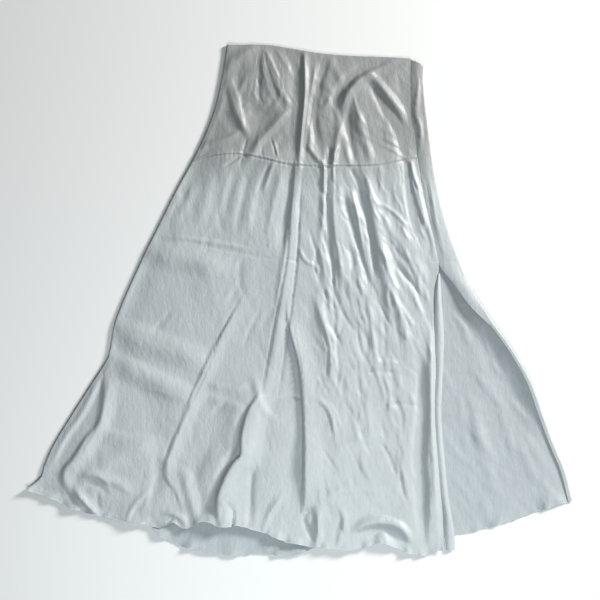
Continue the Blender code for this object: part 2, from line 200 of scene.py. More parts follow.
# Slim creases read off the photograph, with their paths in its pixels and the rest in millimetres.
yokeCreases = {
    "dart": crease(-1.1, 2.5, 2.5, 1, ((260, 46), (258, 60), (256, 71), (252, 90), (247, 105))),
    "dartSecondLine": crease(-0.8, 2.5, 2.5, 1, ((247, 86), (246, 100))),
    "dartPucker": crease(2.0, 5, 5, 0.4, ((242, 107), (246, 106), (250, 104))),
    "cornerFacet": crease(3, 19, 12, 0.55, ((224, 72), (235, 58), (251, 53), (256, 44))),
    "leftRidge": crease(2.2, 8, 8, 0.45, (
        (229, 73), (233, 86), (236, 94), (240, 106), (244, 128), (255, 136),
    )),
    "leftHollow": crease(-2, 14, 14, 0.1, ((220, 108), (230, 124), (240, 134))),
    "gatherA": crease(1.8, 4, 4, 0.7, ((265, 48), (272, 64), (280, 81))),
    "gatherB": crease(1.2, 3, 3, 0.7, ((262, 51), (267, 76))),
    "gatherC": crease(-1.6, 4, 4, 0.5, ((266, 51), (274, 74), (279, 84))),
    "gatherD": crease(1.5, 4, 4, 0.7, ((275, 48), (284, 62), (290, 72))),
    "gatherE": crease(1.5, 4, 4, 0.6, ((272, 80), (279, 92), (282, 100))),
    "gatherF": crease(1.2, 3, 3, 0.6, ((258, 73), (264, 86))),
    "gatherG": crease(-1.2, 3, 3, 0.6, ((256, 76), (261, 90))),
    "gatherH": crease(1.4, 4, 4, 0.6, ((252, 90), (259, 104))),
    "gatherJ": crease(-1.2, 4, 4, 0.5, ((259, 94), (264, 108))),
    "gatherK": crease(2.0, 5, 5, 0.6, ((285, 48), (293, 58), (300, 72))),
    "shadeLeftOfMiddle": crease(-2.2, 12, 8, 0.1, ((297, 50), (297, 90), (296, 130), (291, 162))),
    "middleRidge": crease(2.4, 4, 6, 0.9, ((304, 50), (305, 91), (302, 128), (298, 166))),
    "middleLine": crease(-1.0, 2.5, 2.5, 1, ((309, 54), (309, 90), (306, 124), (302, 160))),
    "secondRidge": crease(2.2, 5, 6, 0.7, ((316, 56), (312, 91), (307, 122), (304, 154))),
    "facetAcross": crease(3, 12, 22, 0.25, ((292, 104), (275, 125), (262, 139), (246, 153))),
    "hollowAboveFacet": crease(-2.6, 16, 16, 0.1, ((246, 103), (260, 113), (278, 110))),
    "lowerLeftShadow": crease(-5.0, 8, 13, 0.3, (
        (240, 134), (233, 143), (218, 147), (198, 150), (182, 152),
    )),
    "lowerLeftRidge": crease(3.4, 8, 8, 0.3, ((204, 143), (218, 141), (230, 138), (242, 131))),
    "lineAboveSeam": crease(1.8, 4, 5, 0.7, ((196, 160), (210, 155), (236, 152))),
    "darkRightOfMiddle": crease(-2.8, 12, 11, 0.1, ((331, 54), (318, 84), (313, 122), (322, 154))),
    "brightRightOfMiddle": crease(1.8, 5, 5, 0.45, ((327, 54), (316, 88))),
    "dragFoldHollow": crease(-5.4, 13, 10, 0.35, ((328, 116), (340, 89), (361, 71), (389, 57), (412, 50))),
    "dragFoldLip": crease(3.2, 8, 13, 0.3, ((340, 112), (349, 91), (364, 78), (390, 64), (410, 58))),
    "dragFoldLower": crease(2.5, 8, 8, 0.35, ((320, 112), (329, 101), (338, 88))),
    "hipRidge": crease(3.2, 12, 13, 0.1, ((360, 62), (370, 74), (384, 91), (395, 104), (412, 126))),
    "hipHollow": crease(-3.2, 12, 12, 0.1, ((366, 76), (380, 98), (392, 113), (402, 134), (406, 160))),
    "hipTriangle": crease(-1.4, 10, 10, 0.1, ((394, 80), (404, 92), (410, 108))),
    "lowerHollow": crease(-2.6, 12, 12, 0.1, ((350, 104), (347, 125), (355, 148))),
    "lowerRidge": crease(2.2, 11, 11, 0.15, ((362, 108), (358, 128), (366, 150))),
    "seamPucker": crease(-1.8, 5, 5, 0.5, ((240, 150), (244, 154), (246, 160))),
    "pinchUp": crease(-2.2, 4, 3, 0.6, ((243, 154), (245, 147), (248, 137))),
    "seamTickA": crease(-1.6, 2.6, 2.6, 0.8, ((262, 142), (262, 150), (263, 160))),
    "seamTickB": crease(-2.0, 2.6, 2.6, 0.8, ((270, 136), (274, 148), (276, 160))),
    "seamTickC": crease(1.6, 3, 3, 0.7, ((272, 137), (276, 148), (279, 160))),
    "yPuckerLeft": crease(2.4, 7, 7, 0.45, ((306, 143), (314, 155), (324, 168))),
    "yPuckerMiddle": crease(-2, 5, 5, 0.35, ((327, 144), (330, 153), (332, 166))),
    "yPuckerRight": crease(2.6, 7, 8, 0.45, ((340, 143), (334, 155), (332, 170))),
}
panelCreases = {
    "softLowA": crease(2.2, 22, 26, 0.05, ((92, 470), (126, 452), (160, 452))),
    "softLowB": crease(2.2, 18, 24, 0.05, ((196, 500), (206, 470), (222, 440))),
    "softLowC": crease(-2.0, 16, 16, 0.05, ((150, 506), (158, 476), (156, 450))),
    "softLowD": crease(1.8, 14, 18, 0.1, ((316, 500), (352, 486), (392, 492))),
    "softLowE": crease(1.6, 14, 18, 0.1, ((330, 452), (364, 438), (404, 440))),
    "pinchLow": crease(-2.6, 4, 5, 0.6, ((222, 168), (234, 161), (244, 153))),
    "pinchLowSide": crease(-1.6, 3, 3, 0.6, ((240, 166), (242, 159), (244, 152))),
    "tickTail": crease(2.0, 5, 6, 0.5, ((276, 158), (270, 174), (263, 194))),
    "tickTailShade": crease(-1.6, 5, 4, 0.4, ((270, 162), (263, 178), (256, 196))),
    "softBelowSeamA": crease(2.0, 18, 18, 0.1, ((214, 166), (206, 200), (196, 232))),
    "softBelowSeamB": crease(-2.0, 12, 12, 0.1, ((238, 166), (229, 196), (224, 224))),
    "softBelowSeamC": crease(1.8, 12, 12, 0.1, ((262, 164), (252, 200), (246, 238))),
    "softBelowSeamD": crease(-1.6, 9, 9, 0.1, ((250, 168), (241, 206), (236, 236))),
    "softBelowSeamE": crease(1.5, 9, 10, 0.2, ((284, 166), (273, 205), (266, 245))),
    "softBelowSeamF": crease(1.6, 14, 14, 0.1, ((200, 180), (184, 206), (172, 230))),
    "diagonal": crease(-2.6, 3.2, 2.6, 1, (
        (252, 278), (236, 305), (218, 340), (213, 355), (200, 384), (183, 418),
        (169, 450), (165, 469), (173, 481), (179, 503), (189, 522),
    )),
    "foldLineAcross": crease(-1.7, 3, 4, 0.9, ((160, 243), (190, 243), (216, 248), (250, 255), (294, 262))),
    "foldLineAcrossLip": crease(2.2, 6, 5, 0.5, ((158, 238), (188, 239), (216, 243), (262, 252))),
    "dentHigh": crease(4.4, 24, 34, 0.02, ((132, 250), (180, 255), (240, 268))),
    "dentMiddle": crease(5.0, 22, 38, 0.02, ((98, 322), (142, 333), (172, 345), (222, 362))),
    "dentLow": crease(4.6, 18, 36, 0.02, ((100, 354), (147, 372), (176, 386), (214, 402))),
    "dentLower": crease(2.8, 16, 28, 0.05, ((96, 430), (128, 438), (162, 440))),
    "dentRightOfDiagonal": crease(3.0, 7, 14, 0.2, ((206, 384), (226, 386), (252, 384))),
    "dentRightShade": crease(2.4, 9, 22, 0.1, ((206, 400), (222, 400), (248, 410))),
    "wingGroove": crease(-2.0, 5, 6, 0.6, ((110, 356), (106, 389), (98, 424), (86, 444), (74, 466))),
    "wingHollow": crease(-2.4, 6, 6, 0.4, ((66, 462), (62, 476), (68, 494), (80, 508))),
    "wingRibA": crease(1.0, 3, 3, 0.6, ((36, 481), (40, 486), (42, 492))),
    "wingRibB": crease(1.0, 3, 3, 0.6, ((41, 479), (45, 485), (47, 492))),
    "wingRibC": crease(0.9, 3, 3, 0.6, ((46, 478), (50, 484), (51, 491))),
    "hemDentTop": crease(2.4, 8, 5, 0.6, ((78, 478), (92, 473), (104, 478), (112, 490))),
    "hemDentHollow": crease(-2.4, 6, 9, 0.2, ((82, 486), (96, 484), (112, 496))),
    "hemDentFold": crease(3.0, 5, 6, 0.8, ((96, 515), (86, 502), (74, 490))),
    "hemDentFoldShade": crease(-3.0, 5, 5, 0.5, ((92, 516), (84, 505), (76, 496))),
    "hemTrough": crease(-2.0, 5, 5, 0.4, ((100, 514), (98, 498), (99, 486))),
    "leftHemRipple": crease(2.2, 6, 7, 0.5, ((126, 524), (134, 505), (150, 488))),
    "smallArch": crease(3.5, 6, 6, 0.6, ((160, 514), (172, 512), (184, 518), (188, 528))),
    "smallArchHollow": crease(-3.0, 5, 5, 0.4, ((164, 526), (174, 519), (184, 526))),
    "tallFoldShade": crease(-3.0, 14, 5, 0.3, (
        (212, 524), (212, 500), (222, 474), (236, 446), (241, 420), (248, 402),
    )),
    "tallFoldPinch": crease(3.0, 5, 5, 0.8, ((215, 512), (226, 500), (238, 486))),
    "tallFoldRightLine": crease(-1.8, 4, 4, 0.8, (
        (250, 528), (250, 480), (252, 460), (258, 440), (262, 420), (260, 400),
    )),
    "tallFoldTopA": crease(3.0, 4, 8, 0.6, ((243, 430), (249, 410), (262, 391))),
    "tallFoldMouth": crease(-3.0, 7, 7, 0.4, ((234, 532), (232, 516), (236, 500))),
    "middleLineLeft": crease(-3.2, 3.4, 3, 0.8, (
        (256, 416), (264, 380), (279, 300), (287, 256), (290, 200), (295, 150),
    )),
    "middleLineRight": crease(-3.0, 3, 3.4, 0.8, (
        (273, 416), (282, 370), (292, 300), (297, 256), (300, 200), (304, 150),
    )),
    "middleCrossMark": crease(-2.2, 3, 3, 0.7, ((284, 259), (299, 261))),
    "middleShade": crease(-4.2, 24, 4, 0.15, ((283, 262), (287, 220), (291, 190), (294, 150))),
    "middleStrip": crease(0.9, 9, 10, 0, (
        (268, 404), (276, 360), (285, 300), (291, 256), (295, 200), (299, 162),
    )),
    "slitEdgeRidge": crease(8.0, 30, 7, 0.1, (
        (439, 562), (435, 519), (434, 470), (432, 420), (432, 370), (429, 320),
    )),
    "tallFoldCurl": crease(3.6, 5, 5, 0.6, ((219, 494), (228, 508), (224, 526))),
    "tallFoldCurlShade": crease(-4.4, 4, 6, 0.4, ((226, 498), (234, 512), (230, 530))),
    "yPuckerTailLeft": crease(2.4, 4, 4, 0.6, ((318, 156), (324, 168), (325, 190))),
    "yPuckerTailRight": crease(2.4, 4, 4, 0.6, ((336, 154), (333, 166), (334, 188))),
    "hookRidge": crease(2.4, 5, 5, 0.7, ((298, 245), (305, 260), (316, 267), (321, 276))),
    "troughLine": crease(-3.0, 7, 3, 0.8, (
        (301, 522), (303, 500), (305, 450), (304, 400), (300, 358), (290, 312),
    )),
    "facetLow": crease(-3.4, 7, 7, 0.7, ((316, 503), (304, 516), (308, 530), (316, 545))),
    "facetLip": crease(2.6, 6, 6, 0.7, ((322, 508), (318, 524), (324, 545))),
    "channelPatchA": crease(-2.6, 6, 7, 0.4, ((330, 292), (333, 270), (327, 246), (318, 222))),
    "channelPatchB": crease(-2.0, 4, 5, 0.5, ((322, 288), (318, 262), (312, 240), (308, 226))),
    "channelPatchC": crease(1.8, 4, 4, 0.5, ((326, 284), (323, 262), (317, 238))),
    "channelPatchD": crease(-1.6, 4, 4, 0.5, ((340, 300), (337, 276), (334, 250))),
    "channelLeftLip": crease(2.0, 3, 4, 0.8, ((322, 240), (324, 200), (323, 165))),
    "channel": crease(-1.8, 3.5, 3.5, 0.8, ((334, 312), (333, 280), (331, 258), (327, 226), (327, 165))),
    "channelRightLip": crease(1.6, 4, 6, 0.5, ((345, 300), (340, 262), (334, 226), (332, 172))),
    "streakA": crease(-3.2, 5, 5, 0.5, ((375, 280), (369, 232), (362, 204), (352, 180))),
    "streakB": crease(-2.8, 5, 5, 0.5, ((373, 290), (363, 265), (356, 239), (349, 216), (340, 188))),
    "streakC": crease(2.6, 4, 5, 0.6, ((364, 256), (357, 215), (350, 184))),
    "streakD": crease(2.2, 5, 6, 0.5, ((412, 234), (395, 214), (374, 200))),
    "streakE": crease(-2.4, 5, 5, 0.4, ((417, 238), (408, 200), (404, 164))),
    "streakF": crease(2.4, 4, 4, 0.6, ((428, 232), (420, 211), (409, 172))),
    "streakG": crease(-2.2, 4, 3, 0.6, ((434, 218), (427, 196), (421, 160))),
    "streakH": crease(-2.6, 5, 5, 0.4, ((434, 324), (415, 288), (393, 262))),
    "streakJ": crease(-2.0, 5, 5, 0.5, ((394, 334), (380, 305), (370, 282))),
    "streakK": crease(1.8, 4, 5, 0.5, ((368, 334), (360, 305), (356, 286))),
    "streakL": crease(2.0, 5, 5, 0.5, ((400, 300), (388, 270), (381, 240))),
    "streakM": crease(1.8, 5, 5, 0.5, ((424, 290), (410, 262), (400, 240))),
    "foldBelowHook": crease(-3.2, 5, 5, 0.6, ((326, 380), (328, 358), (326, 340), (318, 316))),
    "foldBelowHookLip": crease(2.4, 4, 6, 0.6, ((334, 376), (335, 352), (330, 328))),
    "shortLineA": crease(-1.8, 3, 3, 0.7, ((330, 395), (323, 385), (320, 373))),
    "shortLineB": crease(-2.4, 4, 4, 0.6, ((334, 440), (329, 418), (323, 406), (312, 402))),
    "shortLineBLip": crease(1.8, 4, 4, 0.6, ((341, 434), (336, 414), (326, 398))),
    "shortLineC": crease(-1.8, 4, 4, 0.5, ((336, 472), (330, 460), (320, 445))),
    "acrossA": crease(-1.8, 4, 7, 0.5, ((264, 402), (290, 396), (316, 401))),
    "acrossB": crease(-2.4, 5, 9, 0.3, ((343, 380), (372, 371), (408, 373))),
    "acrossC": crease(2.2, 6, 8, 0.3, ((345, 370), (374, 362), (410, 364))),
    "acrossD": crease(-2.2, 4, 8, 0.3, ((372, 410), (396, 403), (424, 406))),
    "slitTrough": crease(-5.0, 18, 13, 0.1, (
        (428, 552), (422, 519), (423, 488), (419, 458), (424, 400), (420, 350),
    )),
    "slitTroughLine": crease(-2.0, 3, 4, 0.7, ((430, 545), (426, 500), (424, 458), (430, 400), (431, 350))),
    "slitDarkOpening": crease(-2.4, 4, 2.5, 0.5, ((439, 335), (434, 310), (436, 280))),
    "hemArch": crease(3.6, 9, 8, 0.4, ((350, 534), (362, 522), (380, 518), (400, 524), (412, 540))),
    "hemArchHollow": crease(-3.4, 9, 10, 0.3, ((366, 540), (382, 530), (394, 536))),
    "hemRippleA": crease(2.6, 8, 9, 0.5, ((262, 534), (270, 512), (284, 492))),
    "hemRippleB": crease(2.4, 8, 8, 0.5, ((338, 550), (342, 528), (352, 508))),
}
stripCreases = {
    "waistRidge": crease(2.2, 4, 5, 0.4, ((418, 162), (420, 130), (415, 112), (418, 84), (414, 66))),
    "waistHollow": crease(-1.6, 4, 4, 0.3, ((412, 150), (413, 126), (410, 104), (411, 76))),
    "rimHollow": crease(-1.5, 4, 4, 0.3, ((425, 150), (424, 126), (421, 104), (422, 84))),
    "rim": crease(1.2, 3, 3, 0.5, ((430, 150), (427, 123), (424, 102))),
    "lowRidge": crease(1.8, 5, 5, 0.4, ((462, 300), (448, 276), (441, 250), (434, 216), (427, 168))),
    "groove": crease(-2.2, 4, 4, 0.5, ((456, 286), (446, 268), (437, 240), (430, 204), (423, 165))),
}
backCreases = {
    "slitStreakA": crease(1.4, 6, 7, 0.5, ((470, 470), (462, 420), (456, 360))),
    "slitStreakB": crease(-1.0, 6, 6, 0.4, ((478, 420), (468, 380), (462, 330))),
    "slitStreakC": crease(1.6, 7, 8, 0.5, ((520, 470), (505, 430), (496, 395))),
    "slitStreakD": crease(1.2, 5, 6, 0.5, ((500, 380), (486, 350), (478, 326))),
    "slitHemRippleA": crease(2.6, 7, 8, 0.5, ((490, 530), (486, 512), (480, 494))),
    "slitHemRippleB": crease(2.6, 7, 8, 0.5, ((530, 516), (524, 500), (516, 484))),
    "slitHemRippleC": crease(2.4, 7, 8, 0.5, ((552, 508), (546, 492), (538, 476))),
    "lowHemRippleA": crease(1.6, 6, 7, 0.5, ((214, 556), (212, 542), (208, 528))),
    "lowHemRippleB": crease(1.6, 6, 7, 0.5, ((268, 560), (266, 546), (262, 534))),
    "lowHemRippleC": crease(1.4, 6, 7, 0.5, ((178, 548), (182, 536), (188, 524))),
}


def fromPhoto(creases):
    scale, middle = photo["mmPerPixel"], photo["middle"]
    placed = []
    for crease in creases.values():
        path = tuple(((x - middle) * scale, (middle - y) * scale) for x, y in crease.path)
        placed.append(crease._replace(path=path))
    return tuple(placed)


def smooth(share):
    share = np.clip(share, 0, 1)
    return share * share * (3 - 2 * share)


def curve(points, count, shares=None):
    # places along a smooth curve through the points, spaced evenly or at the given shares of its length
    knots = np.array(points, float)
    whole = np.vstack([2 * knots[:1] - knots[1:2], knots, 2 * knots[-1:] - knots[-2:-1]])
    t = np.linspace(0, 1, 10, endpoint=False)[:, None]
    spans = []
    for a, b, c, d in zip(whole, whole[1:], whole[2:], whole[3:]):
        bend = 2 * a - 5 * b + 4 * c - d + t * (3 * (b - c) + d - a)
        spans.append(b + 0.5 * t * (c - a + t * bend))
    fine = np.vstack([*spans, knots[-1:]])
    along = np.concatenate([[0], np.cumsum(np.linalg.norm(np.diff(fine, axis=0), axis=1))])
    at = along[-1] * (np.linspace(0, 1, count) if shares is None else shares)
    return np.stack([np.interp(at, along, fine[:, k]) for k in range(knots.shape[1])], axis=1)


def edgeX(points, y):
    drawn = curve(points, 200)
    return np.interp(-y, -drawn[:, 1], drawn[:, 0])


def moved(points, dx=0.0, dy=0.0):
    return tuple((x + dx, y + dy) for x, y in points)


def patch(top, bottom, left, right, rows, columns, crowd=1.0):
    # a grid of plan places inside four edges; crowd over 1 packs its rows to the top, under -1 to the bottom
    shares = np.linspace(0, 1, rows + 1)
    shares = shares**crowd if crowd > 0 else 1 - (1 - shares) ** -crowd
    top, bottom = curve(top, columns + 1), curve(bottom, columns + 1)
    left, right = curve(left, rows + 1, shares), curve(right, rows + 1, shares)
    u = np.linspace(0, 1, columns + 1)[None, :, None]
    v = shares[:, None, None]
    between = (1 - v) * top[None] + v * bottom[None]
    across = (1 - u) * left[:, None] + u * right[:, None]
    corners = (1 - v) * ((1 - u) * top[0] + u * top[-1]) + v * ((1 - u) * bottom[0] + u * bottom[-1])
    return between + across - corners


def addFold(fold, plan, lift, shift, fade=0.3):
    # adds one fold to the heights, and its lean to the sideways shift, of every place near it
    line = curve(fold.path, 4 * len(fold.path))
    reach = max(fold.left, fold.right)
    low, high = line.min(0) - reach, line.max(0) + reach
    near = np.flatnonzero(((plan > low) & (plan < high)).all(1))
    if not len(near):
        return
    start, step = line[:-1], np.diff(line, axis=0)
    away = plan[near][:, None] - start
    share = np.clip((away * step).sum(-1) / (step * step).sum(-1), 0, 1)
    off = np.linalg.norm(away - share[..., None] * step, axis=-1)
    best = off.argmin(axis=1)
    each = np.arange(len(near))
    along = (best + share[each, best]) / len(step)
    side = step[best, 0] * away[each, best, 1] - step[best, 1] * away[each, best, 0]
    t = np.clip(off[each, best] / np.where(side > 0, fold.left, fold.right), 0, 1)
    crown = (1 - fold.sharp) * (0.5 + 0.5 * np.cos(np.pi * t)) + fold.sharp * (1 - t) ** 1.7
    crown = crown * smooth(np.minimum(along, 1 - along) / fade)
    lift[near] += fold.high * crown
    if fold.lean:
        across = np.stack([-step[best, 1], step[best, 0]], axis=1)
        across /= np.linalg.norm(across, axis=1)[:, None]
        shift[near] += fold.lean * across * (crown * np.where(side > 0, 1, crown))[:, None]


def drape(plan, folds):
    # (height, sideways shift) of all the folds together
    flat = plan.reshape(-1, 2)
    lift, shift = np.zeros(len(flat)), np.zeros_like(flat)
    for fold in folds:
        addFold(fold, flat, lift, shift)
    return lift.reshape(plan.shape[:-1]), shift.reshape(plan.shape)


def softNoise(plan, size, seed, turn=0.0, stretch=1.0):
    # smooth random field from -1 to 1, its spots `size` across and `stretch` times longer along the turned y
    lattice = np.random.default_rng(seed).uniform(-1, 1, (256, 256))
    c, s = math.cos(turn), math.sin(turn)
    x = (c * plan[..., 0] + s * plan[..., 1]) / size + 91.3
    y = (c * plan[..., 1] - s * plan[..., 0]) / (size * stretch) + 47.7
    i, j = np.floor(x).astype(int), np.floor(y).astype(int)
    u, v = smooth(x - i), smooth(y - j)
    i, j = i % 255, j % 255
    low = lattice[i, j] * (1 - u) + lattice[i + 1, j] * u
    high = lattice[i, j + 1] * (1 - u) + lattice[i + 1, j + 1] * u
    return low * (1 - v) + high * v


def scatteredCreases(count, seed, left, right, bottom, top, turn, spread, length, high, wide=4.5, sharp=0.4):
    # many short wrinkles in one part of the skirt, running roughly the way of `turn` from the vertical
    rng = np.random.default_rng(seed)
    made = []
    for k in range(count):
        angle = turn + spread * rng.normal()
        way = np.array([math.sin(angle), math.cos(angle)])
        size = length * rng.uniform(0.5, 1.6)
        middle = np.array([rng.uniform(left, right), rng.uniform(bottom, top)])
        bend = np.array([way[1], -way[0]]) * size * rng.uniform(-0.12, 0.12)
        reach = wide * rng.uniform(0.65, 1.4)
        tall = high * rng.uniform(0.4, 1.2) * rng.choice([-1, 1])
        path = (middle - way * size / 2, middle + bend, middle + way * size / 2)
        made.append(crease(tall, reach, reach * rng.uniform(1, 1.8), sharp, tuple(map(tuple, path))))
    return tuple(made)


crinkle = {
    "broad": (1.3, 42),  # height and size in mm of the gentle unevenness all over
    "middle": (0.5, 15),
    "streak": (0.17, 7),  # slim streaks along the cloth's length
    "seamLip": (1.5, 3.6),  # height and half width of the ridge where the seam is pressed up
    "puckerPitch": 8,
}


def smallWrinkles():
    return (
        *scatteredCreases(16, 3, -140, -15, 255, 420, 0.35, 0.35, 50, 1.5, 9, 0.2),  # left of the yoke
        *scatteredCreases(14, 4, -70, -10, 340, 440, -0.45, 0.15, 34, 1.0, 3.5, 0.6),  # beside the dart
        *scatteredCreases(22, 5, 15, 190, 250, 415, -0.45, 0.35, 58, 1.7, 9, 0.2),  # right of the yoke
        *scatteredCreases(26, 6, 15, 190, 250, 415, -0.5, 0.3, 34, 0.7, 4, 0.3),
        # right of the panel, high
        *scatteredCreases(44, 7, 30, 235, -50, 240, -0.32, 0.2, 62, 1.9, 6, 0.3),
        *scatteredCreases(110, 9, 20, 235, -150, 220, -0.38, 0.14, 44, 1.0, 3.0, 0.5),
        # right of the panel, low
        *scatteredCreases(110, 8, 10, 235, -400, -40, -0.35, 0.3, 32, 0.9, 3.4, 0.4),
        # long slim streaks there
        *scatteredCreases(64, 43, 40, 235, -390, 80, -0.24, 0.12, 76, 1.9, 5.5, 0.4),
        # left of the panel, high
        *scatteredCreases(24, 11, -250, -30, -60, 235, 0.3, 0.3, 60, 0.8, 9, 0.1),
        # left of the panel, low
        *scatteredCreases(34, 13, -420, -40, -390, -60, -0.2, 0.6, 44, 0.7, 6, 0.3),
        # where it was folded across
        *scatteredCreases(30, 17, -240, -30, 62, 100, -0.4, 0.3, 14, 0.7, 2.6, 0.5),
        *scatteredCreases(22, 19, -330, -190, -100, -68, -0.4, 0.3, 14, 0.7, 2.6, 0.5),
    )


frontFolds = (*broadFolds, *fromPhoto(yokeCreases), *fromPhoto(panelCreases), *smallWrinkles())


def unevenness(plan):
    # the left half of the panel lies smoother than the rest
    share = 0.45 + 0.55 * smooth(np.maximum(plan[..., 0] + 40, plan[..., 1] - 220) / 60)
    tall, size = crinkle["broad"]
    field = tall * softNoise(plan, size, 21, 0.3, 1.8)
    tall, size = crinkle["middle"]
    field = field + tall * share * softNoise(plan, size, 22, 0.35, 2.2)
    tall, size = crinkle["streak"]
    return field + tall * share * softNoise(plan, size, 23, 0.35, 3.5)


def seamRidge(plan, seam):
    # the lip along a line of sewing, with small puckers across it
    flat = plan.reshape(-1, 2)
    lip, near, shift = np.zeros(len(flat)), np.zeros(len(flat)), np.zeros_like(flat)
    tall, wide = crinkle["seamLip"]
    addFold(crease(tall, wide, 0.7 * wide, 0.2, moved(seam, dy=1.6)), flat, lip, shift, fade=0.01)
    addFold(crease(-0.5 * tall, 0.7 * wide, wide, 0.2, moved(seam, dy=-1.6)), flat, lip, shift, fade=0.01)
    addFold(crease(1, 12, 16, 0.3, seam), flat, near, shift, fade=0.05)
    ripple = np.sin(2 * np.pi * flat[:, 0] / crinkle["puckerPitch"] + 4 * softNoise(flat, 30, 31))
    ripple = ripple * (0.5 + 0.5 * softNoise(flat, 40, 33))
    return (lip + 0.4 * near * ripple).reshape(plan.shape[:-1])


def insideOf(plan, fromTop, fromBottom):
    fromLeft, fromRight = plan - plan[:, :1], plan - plan[:, -1:]
    inside = np.minimum(np.linalg.norm(fromLeft, axis=-1), np.linalg.norm(fromRight, axis=-1))
    if fromTop:
        inside = np.minimum(inside, np.linalg.norm(plan - plan[:1], axis=-1))
    if fromBottom:
        inside = np.minimum(inside, np.linalg.norm(plan - plan[-1:], axis=-1))
    return inside


def hemRipple(plan, size, tall, deep, seed):
    # uneven waves along the bottom row of a grid, fading upwards
    up = np.linalg.norm(plan - plan[-1:], axis=-1)
    edge = np.stack([plan[-1, :, 0], np.zeros(plan.shape[1])], axis=-1)
    swing = np.maximum(0.35 + softNoise(edge, size, seed), 0)[None]
    return tall * swing * np.exp(-((up / deep) ** 2))


def hemWobble(plan, seed):
    # the rolled hem stretches the edge, so its outline waves in and out
    up = np.linalg.norm(plan - plan[-1:], axis=-1)
    edge = np.stack([plan[-1, :, 0], np.zeros(plan.shape[1])], axis=-1)
    wave = 1.6 * softNoise(edge, 9, seed) + 2.0 * softNoise(edge, 22, seed + 1)
    return (wave[None] * np.exp(-((up / 9) ** 2)))[..., None] * (0, 1)


def frontSurface(plan, fromTop, fromBottom):
    lift, shift = drape(plan, frontFolds)
    held = smooth(insideOf(plan, fromTop, False) / 9)
    height = cloth["puff"] * smooth(insideOf(plan, fromTop, fromBottom) / cloth["puffEdge"])
    eased = 1 - 0.28 * smooth((plan[..., 1] - 250) / 30)  # the yoke fits closely, so it lies flatter
    height = height + lift * (0.35 + 0.65 * held) * eased
    height = height + unevenness(plan) * held + seamRidge(plan, outline["yokeSeam"])
    rim = np.linalg.norm(plan - plan[:, :1], axis=-1)
    height = height + cloth["leftRise"] * np.exp(-((rim / cloth["leftRiseWide"]) ** 2))
    if fromBottom:
        height = height + hemRipple(plan, 30, 6.0, 24, 51) + hemRipple(plan, 12, 4.0, 9, 52)
        raised = np.exp(-(((plan[..., 0] + 90) / 150) ** 4))  # where the back's hem shows below it
        height = height + 7.0 * raised * np.exp(-((np.linalg.norm(plan - plan[-1:], axis=-1) / 22) ** 2))
    else:
        top = np.linalg.norm(plan - plan[:1], axis=-1)
        height = height + 1.0 * np.exp(-((top / 9) ** 2))
    height = np.where(height > cloth["tall"], cloth["tall"] + 0.35 * (height - cloth["tall"]), height)
    height = np.where(height > 0.6, height, 0.6 * np.exp(np.minimum(height - 0.6, 0) / 0.6))
    if fromTop:
        bottom = np.linalg.norm(plan - plan[-1:], axis=-1)
        height = height - cloth["tuck"] * (1 - smooth(bottom / 3.5))
    else:
        shift = shift + hemWobble(plan, 73)
    return np.concatenate([plan + shift * held[..., None], (frontLow + height)[..., None]], axis=-1)


def turnedUnder(points, side, radius, under):
    # adds rows that turn one border of the cloth down and back under itself
    flip = {
        "top": lambda g: g,
        "left": lambda g: g.swapaxes(0, 1),
        "right": lambda g: g[:, ::-1].swapaxes(0, 1),
    }
    back = {
        "top": lambda g: g,
        "left": lambda g: g.swapaxes(0, 1),
        "right": lambda g: g.swapaxes(0, 1)[:, ::-1],
    }
    grid = flip[side](points)
    border = grid[0]
    out = border[:, :2] - grid[1, :, :2]
    out /= np.linalg.norm(out, axis=1)[:, None]
    rows = []
    for angle in (0.5, 1.0, 1.5, 2.1, 2.8):
        reach, drop = radius * math.sin(angle), radius * (1 - math.cos(angle))
        rows.append(np.column_stack([border[:, :2] + out * reach, border[:, 2] - drop]))
    rows.append(np.column_stack([border[:, :2] - out * under, border[:, 2] - 2 * radius]))
    return back[side](np.concatenate([np.stack(rows[::-1]), grid]))


def rolledSurface(plan, height, seamEdge, under, folds):
    # the outer face of a back piece: the strip on the front, the roll at the right, then the part that lies
    radius = cloth["rollRadius"]
    centre = plan[:, -1] - (radius, 0)
    plan = plan - radius * (np.linspace(0, 1, plan.shape[1]) ** 60)[None, :, None] * (1, 0)
    columns = [*np.concatenate([plan, height[..., None]], axis=-1).swapaxes(0, 1)]
    axis = np.column_stack([centre, height[:, -1] + radius])
    for angle in np.linspace(0, np.pi, 9)[1:]:
        columns.append(axis + radius * np.array((math.sin(angle), 0, -math.cos(angle))))
    above = axis + (0, 0, radius)
    landed = np.column_stack([seamEdge, frontLow - under + height[:, -1]])
    wide = smooth(np.linalg.norm(landed - above, axis=1)[:, None] / 14 - 1)
    for share in np.linspace(0, 1, 10)[1:]:
        place = above + share * (landed - above)
        lift, shift = drape(place[:, :2], folds)
        rise = wide[:, 0] * cloth["stripPuff"] * math.sin(math.pi * share) + lift * math.sin(math.pi * share)
        columns.append(place + rise[:, None] * (0, 0, 1))
    return np.stack(columns[::-1], axis=1)


